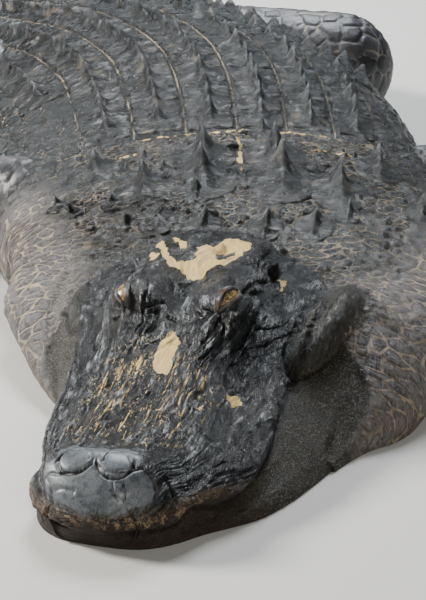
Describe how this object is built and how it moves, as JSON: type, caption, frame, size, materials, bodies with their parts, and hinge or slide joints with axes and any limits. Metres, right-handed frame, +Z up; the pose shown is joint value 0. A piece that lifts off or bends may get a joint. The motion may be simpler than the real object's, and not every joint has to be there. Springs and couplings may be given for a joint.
{
  "type": "american alligator",
  "caption": "Life-size American alligator lying on its belly, head turned aside, body and tail in a curve, legs folded at its sides.",
  "frame": {"origin": "middle of the floor under the animal's box", "axes": "+Z up, the animal faces -Y, its left side is towards +X"},
  "size_m": [2.6248, 2.0195, 0.2763],
  "materials": {
    "back_skin": "wet charcoal hide with keeled horny plates, pale worn seams",
    "jaw_skin": "smooth grey-brown hide of the lower jaw, small scales",
    "leg_skin": "smooth many-sided scales with pale skin between them",
    "eye": "wet, golden brown, with an upright slit pupil",
    "claw": "dark worn horn"
  },
  "bodies": {
    "root": {"head": "back_skin", "neck": "back_skin", "torso_front": "back_skin", "torso_middle": "back_skin", "torso_rear": "back_skin", "tail_1": "back_skin", "tail_2": "back_skin", "tail_3": "back_skin", "tail_4": "back_skin", "tail_5": "back_skin", "tail_6": "back_skin", "lower_jaw": "jaw_skin", "eye_left": "eye", "upper_arm_left": "leg_skin", "forearm_left": "leg_skin", "hand_left": "leg_skin", "thigh_left": "leg_skin", "shank_left": "leg_skin", "foot_left": "leg_skin", "fore_claw_left_1": "claw", "fore_claw_left_2": "claw", "fore_claw_left_3": "claw", "hind_claw_left_1": "claw", "hind_claw_left_2": "claw", "hind_claw_left_3": "claw", "eye_right": "eye", "upper_arm_right": "leg_skin", "forearm_right": "leg_skin", "hand_right": "leg_skin", "thigh_right": "leg_skin", "shank_right": "leg_skin", "foot_right": "leg_skin", "fore_claw_right_1": "claw", "fore_claw_right_2": "claw", "fore_claw_right_3": "claw", "hind_claw_right_1": "claw", "hind_claw_right_2": "claw", "hind_claw_right_3": "claw"}
  },
  "joints": []
}
